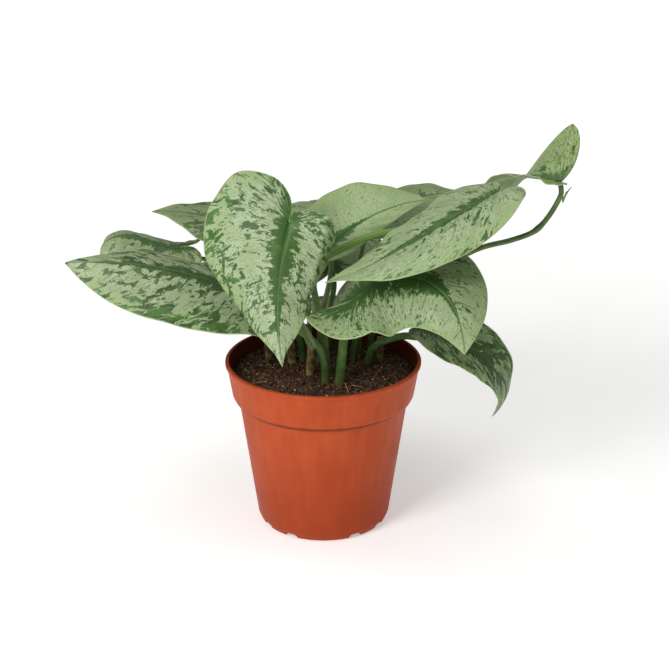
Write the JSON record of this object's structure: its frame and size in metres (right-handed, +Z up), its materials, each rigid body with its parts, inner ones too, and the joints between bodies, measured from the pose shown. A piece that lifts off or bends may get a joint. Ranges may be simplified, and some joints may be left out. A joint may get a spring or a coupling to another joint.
{
  "type": "potted scindapsus",
  "caption": "Silver-splashed scindapsus house plant with arching heart-shaped leaves and one climbing vine, rooted in potting mix in a tapered plastic grow pot.",
  "frame": {"origin": "middle of the flat underside of the pot, on the pot's axis, where it stands", "axes": "+Z up along the pot's axis, -Y towards the front of the plant, +X towards the side where the vine climbs"},
  "size_m": [0.2735, 0.1966, 0.2214],
  "materials": {
    "pot_plastic": "satin",
    "potting_mix": "matte",
    "leaf": "satin",
    "stalk": "satin",
    "dry_sheath": "matte",
    "cut_stem": "matte"
  },
  "bodies": {
    "root": {"pot": "pot_plastic", "potting_mix": "potting_mix", "leaf_front": "leaf", "leaf_left": "leaf", "leaf_left_rear": "leaf", "leaf_upper_left": "leaf", "leaf_top": "leaf", "leaf_top_rear": "leaf", "leaf_upper_right": "leaf", "leaf_right": "leaf", "leaf_lower_right": "leaf", "leaf_vine_tip": "leaf", "leaf_centre": "leaf", "leaf_back": "leaf", "leaf_back_left": "leaf", "leaf_back_right": "leaf", "leaf_back_low": "leaf", "husk_front": "dry_sheath", "husk_vine": "dry_sheath", "stalk_front": "stalk", "stalk_left": "stalk", "stalk_left_rear": "stalk", "stalk_upper_left": "stalk", "stalk_top": "stalk", "stalk_top_rear": "stalk", "stalk_upper_right": "stalk", "stalk_right": "stalk", "stalk_lower_right": "stalk", "stalk_centre": "stalk", "stalk_back": "stalk", "stalk_back_left": "stalk", "stalk_back_right": "stalk", "stalk_back_low": "stalk", "vine": "stalk", "stub_1": "cut_stem", "stub_2": "cut_stem", "stub_3": "cut_stem", "stub_4": "cut_stem"}
  },
  "joints": []
}
